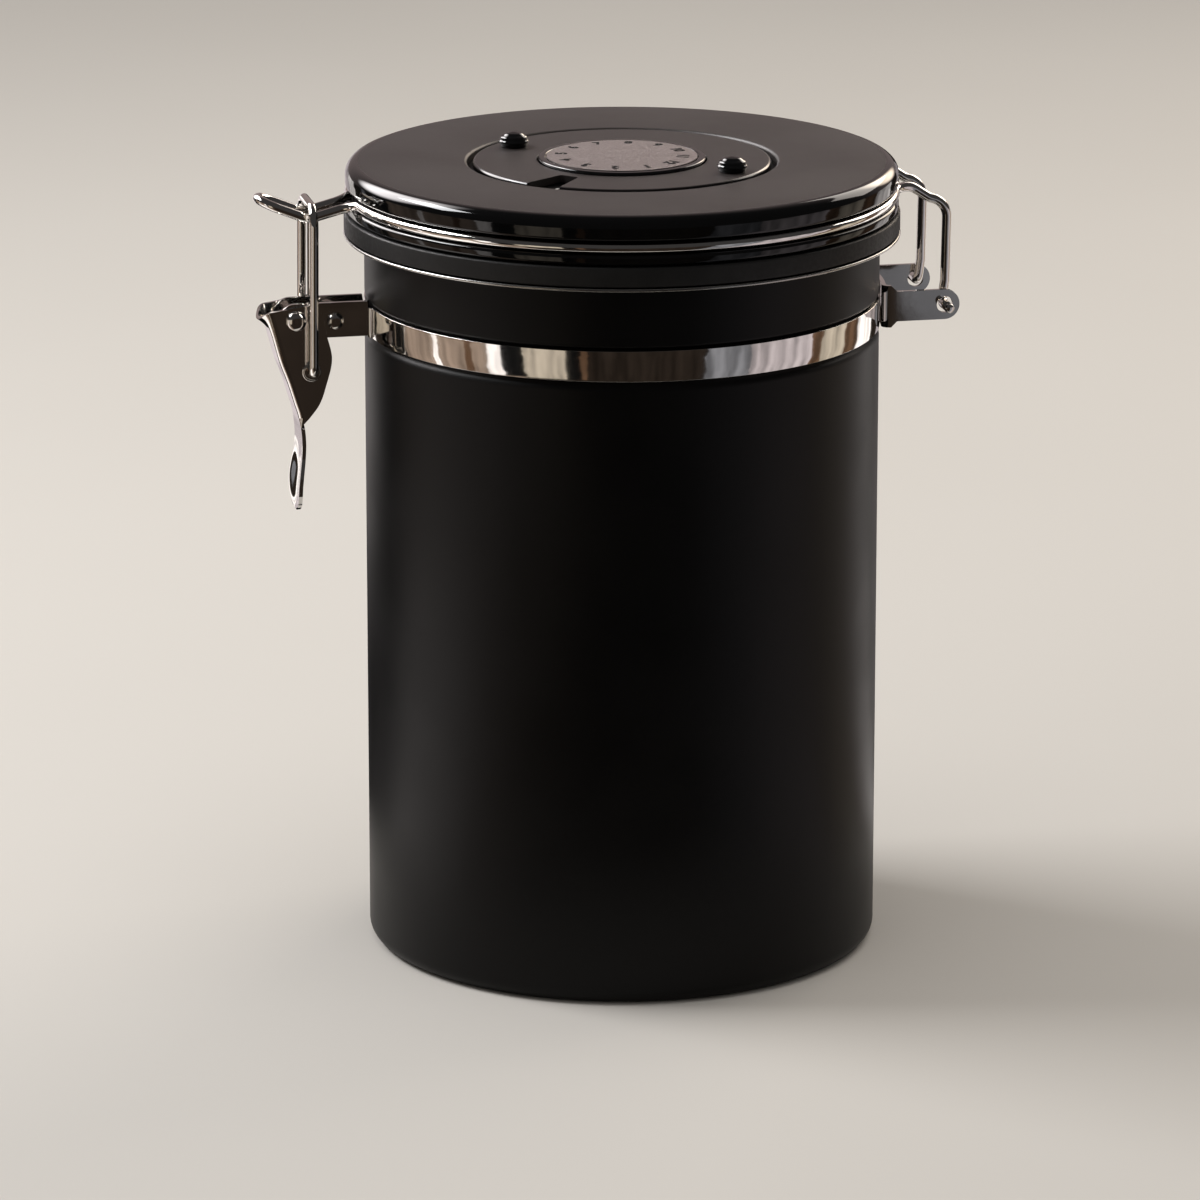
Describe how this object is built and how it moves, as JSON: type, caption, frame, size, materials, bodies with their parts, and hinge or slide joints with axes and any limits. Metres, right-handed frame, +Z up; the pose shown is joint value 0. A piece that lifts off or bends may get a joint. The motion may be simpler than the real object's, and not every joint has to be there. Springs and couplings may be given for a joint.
{
  "type": "coffee canister",
  "caption": "Round painted steel coffee canister with a wire-hooped hinged lid, an over-centre latch, a date dial and a one-way valve.",
  "frame": {"origin": "centre of the underside, where the base plate stands on the table, on the can's axis", "axes": "+Z up the can's axis; -Y towards the latch, +Y towards the lid's hinge"},
  "size_m": [0.1274, 0.1613, 0.1869],
  "materials": {
    "can_paint": "matte black powder coat",
    "lid_paint": "black lacquer, matte on top and glossy on the shoulder",
    "polished_steel": "polished stainless steel",
    "plain_steel": "plain stainless steel",
    "liner_plastic": "black moulded plastic",
    "gasket_silicone": "dark grey silicone",
    "number_plate": "dark plate with pale day numbers",
    "dial_plastic": "satin black",
    "gloss_plastic": "glossy black",
    "satin_disc": "satin, with plain black month numbers",
    "filter_paper": "white filter paper"
  },
  "bodies": {
    "can": {"body_shell": "can_paint", "base_plate": "plain_steel", "clamp_band": "polished_steel", "lever_rivet": "polished_steel", "tie_rivet": "polished_steel", "tie_spacer": "polished_steel", "hinge_bracket": "polished_steel"},
    "lid": {"hoop_wire": "polished_steel", "lid_cover": "lid_paint", "lid_liner": "liner_plastic", "lid_gasket": "gasket_silicone", "day_plate": "number_plate", "dial_hub": "gloss_plastic", "centre_disc": "satin_disc", "hub_screw": "plain_steel", "valve_seat": "liner_plastic", "valve_cap": "liner_plastic", "valve_filter": "filter_paper"},
    "lever": {"latch_lever": "polished_steel"},
    "link": {"latch_link": "polished_steel"},
    "dial": {"dial_ring": "dial_plastic", "dial_knob_1": "gloss_plastic", "dial_knob_2": "gloss_plastic"},
    "valve": {"valve_flap": "gasket_silicone"}
  },
  "joints": [
    {"name": "lid_hinge", "type": "hinge", "parent": "can", "child": "lid", "pos_m": [0, 0.0728, 0.1494], "axis": [-1, 0, 0], "range_deg": [0, 200]},
    {"name": "lever_pivot", "type": "hinge", "parent": "can", "child": "lever", "pos_m": [0, -0.0765, 0.1505], "axis": [-1, 0, 0], "range_deg": [0, 100]},
    {"name": "link_pivot", "type": "hinge", "parent": "lever", "child": "link", "pos_m": [0, -0.0731, 0.13849], "axis": [-1, 0, 0], "range_deg": [-70, 0]},
    {"name": "dial_turn", "type": "hinge", "parent": "lid", "child": "dial", "pos_m": [0, 0, 0.1836], "axis": [0, 0, 1], "continuous": true},
    {"name": "valve_lift", "type": "slide", "parent": "lid", "child": "valve", "axis": [0, 0, 1], "range_m": [0, 0.001]}
  ],
  "couplings": [
    {"joint": "link_pivot", "follows": "lever_pivot", "ratio": -0.66}
  ]
}
